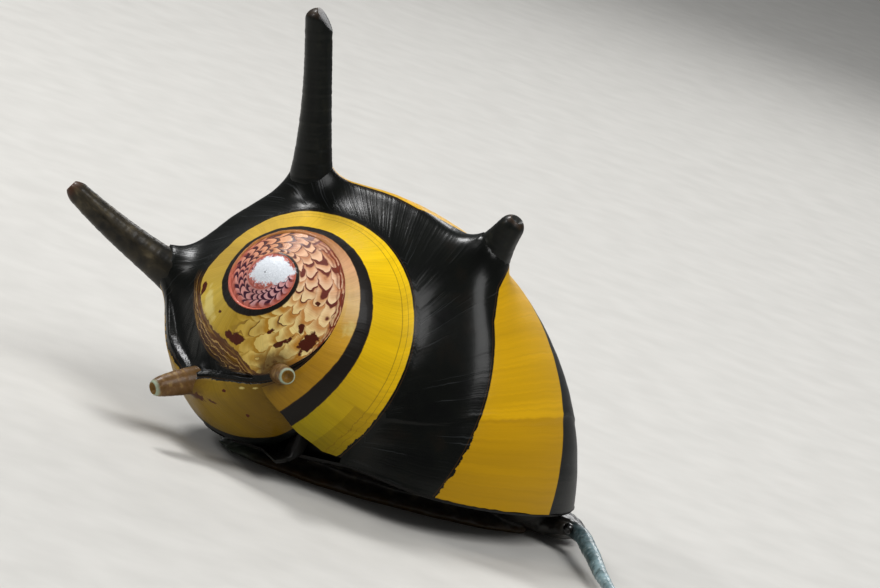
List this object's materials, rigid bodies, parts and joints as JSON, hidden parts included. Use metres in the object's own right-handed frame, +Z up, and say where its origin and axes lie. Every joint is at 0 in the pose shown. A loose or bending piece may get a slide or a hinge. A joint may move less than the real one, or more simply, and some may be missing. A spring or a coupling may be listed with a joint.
{
  "type": "nerite snail",
  "caption": "Life-size horned nerite snail with a banded, spined shell carried over a flat foot, with feelers and eyes, crawling on a flat surface.",
  "frame": {"origin": "middle of the whole outline, on the plane of the sole", "axes": "+X the way the snail crawls, +Y its left side, +Z up"},
  "size_m": [0.0206, 0.0154, 0.0151],
  "materials": {
    "shell": "glossy shell, yellow with black spiral bands",
    "horn": "glossy brown-black horn",
    "operculum": "satin grey-olive plate",
    "flesh": "moist dark skin",
    "feeler": "moist blue-grey skin",
    "eye": "wet black"
  },
  "bodies": {
    "root": {"shell": "shell", "horn_1": "horn", "horn_2": "horn", "horn_3": "horn", "horn_4": "horn", "horn_5": "horn", "mantle": "flesh", "foot": "flesh", "head": "flesh", "operculum": "operculum", "feeler_right_1": "feeler", "feeler_right_2": "feeler", "feeler_right_3": "feeler", "eyestalk_right": "flesh", "eye_right": "eye", "feeler_left_1": "feeler", "feeler_left_2": "feeler", "feeler_left_3": "feeler", "eyestalk_left": "flesh", "eye_left": "eye"}
  },
  "joints": []
}
